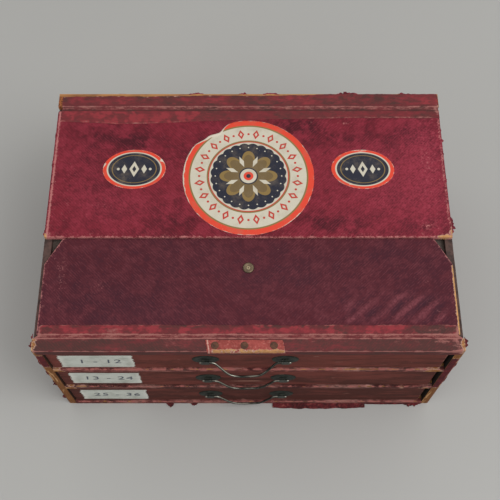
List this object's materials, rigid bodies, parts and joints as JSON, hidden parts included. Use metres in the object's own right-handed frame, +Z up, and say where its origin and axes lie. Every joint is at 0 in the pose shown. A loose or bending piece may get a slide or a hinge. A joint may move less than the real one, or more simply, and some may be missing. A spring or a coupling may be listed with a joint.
{
  "type": "sewing thread drawer cabinet",
  "caption": "Low cloth-covered tabletop cabinet for sewing thread, with bail-pull drawers under a shallow well closed by a hinged lid and a hinged front flap.",
  "frame": {"origin": "centre of the flat underside, under the middle of the case from front to back and side to side", "axes": "+Z up, the drawers face and open towards -Y, +X to the right as seen from the front"},
  "size_m": [0.42, 0.3092, 0.1985],
  "materials": {
    "lid_cloth": "matte",
    "flap_cloth": "matte",
    "case_cloth": "matte",
    "hinge_cloth": "matte",
    "drawer_cloth": "matte",
    "board": "matte",
    "wood": "matte",
    "drawer_wood": "matte",
    "label_paper": "matte",
    "tape": "matte",
    "strap": "matte",
    "tack_iron": "matte",
    "pull_iron": "satin",
    "stud_brass": "satin",
    "nail_steel": "matte"
  },
  "bodies": {
    "case": {"side_left": "wood", "side_right": "wood", "back_board": "wood", "bottom_board": "wood", "shelf_1": "wood", "shelf_2": "wood", "well_floor": "board", "front_rail": "wood", "front_cap": "wood", "back_rail": "wood", "back_cap": "wood", "case_nails": "nail_steel", "side_cloths": "case_cloth", "rail_cloth": "case_cloth", "edge_cloths": "case_cloth", "front_hinge_cloth_case": "hinge_cloth", "rear_hinge_cloth_case": "hinge_cloth", "strap_stub": "strap", "strap_tacks": "tack_iron"},
    "lid": {"lid_board": "board", "lid_cloth": "lid_cloth", "rear_hinge_cloth_lid": "hinge_cloth", "round_label": "label_paper", "oval_labels": "label_paper"},
    "flap": {"flap_board": "board", "flap_cloth": "flap_cloth", "front_hinge_cloth_flap": "hinge_cloth", "stud_ring": "stud_brass", "stud_barrel": "stud_brass", "stud_washer": "stud_brass"},
    "drawer_1": {"drawer_1_front": "drawer_wood", "drawer_1_cloth": "drawer_cloth", "drawer_1_left_side": "drawer_wood", "drawer_1_right_side": "drawer_wood", "drawer_1_back": "drawer_wood", "drawer_1_bottom": "board", "drawer_1_tape_label": "tape", "drawer_1_pull_plates": "pull_iron", "drawer_1_pull_eyes": "pull_iron"},
    "bail_1": {"drawer_1_bail": "pull_iron"},
    "drawer_2": {"drawer_2_front": "drawer_wood", "drawer_2_cloth": "drawer_cloth", "drawer_2_left_side": "drawer_wood", "drawer_2_right_side": "drawer_wood", "drawer_2_back": "drawer_wood", "drawer_2_bottom": "board", "drawer_2_tape_label": "tape", "drawer_2_pull_plates": "pull_iron", "drawer_2_pull_eyes": "pull_iron"},
    "bail_2": {"drawer_2_bail": "pull_iron"},
    "drawer_3": {"drawer_3_front": "drawer_wood", "drawer_3_cloth": "drawer_cloth", "drawer_3_left_side": "drawer_wood", "drawer_3_right_side": "drawer_wood", "drawer_3_back": "drawer_wood", "drawer_3_bottom": "board", "drawer_3_tape_label": "tape", "drawer_3_pull_plates": "pull_iron", "drawer_3_pull_eyes": "pull_iron"},
    "bail_3": {"drawer_3_bail": "pull_iron"}
  },
  "joints": [
    {"name": "lid_hinge", "type": "hinge", "parent": "case", "child": "lid", "pos_m": [0, 0.12925, 0.1989], "axis": [-1, 0, 0], "range_deg": [0, 180]},
    {"name": "flap_hinge", "type": "hinge", "parent": "case", "child": "flap", "pos_m": [0, -0.13425, 0.1969], "axis": [1, 0, 0], "range_deg": [0, 165]},
    {"name": "drawer_1_slide", "type": "slide", "parent": "case", "child": "drawer_1", "axis": [0, -1, 0], "range_m": [0, 0.22]},
    {"name": "bail_1_swing", "type": "hinge", "parent": "drawer_1", "child": "bail_1", "pos_m": [-0.003, -0.1505, 0.163], "axis": [-1, 0, 0], "range_deg": [-29, 151]},
    {"name": "drawer_2_slide", "type": "slide", "parent": "case", "child": "drawer_2", "axis": [0, -1, 0], "range_m": [0, 0.22]},
    {"name": "bail_2_swing", "type": "hinge", "parent": "drawer_2", "child": "bail_2", "pos_m": [-0.003, -0.1505, 0.0995], "axis": [-1, 0, 0], "range_deg": [-12, 168]},
    {"name": "drawer_3_slide", "type": "slide", "parent": "case", "child": "drawer_3", "axis": [0, -1, 0], "range_m": [0, 0.22]},
    {"name": "bail_3_swing", "type": "hinge", "parent": "drawer_3", "child": "bail_3", "pos_m": [-0.003, -0.1505, 0.036], "axis": [-1, 0, 0], "range_deg": [-12, 168]}
  ]
}
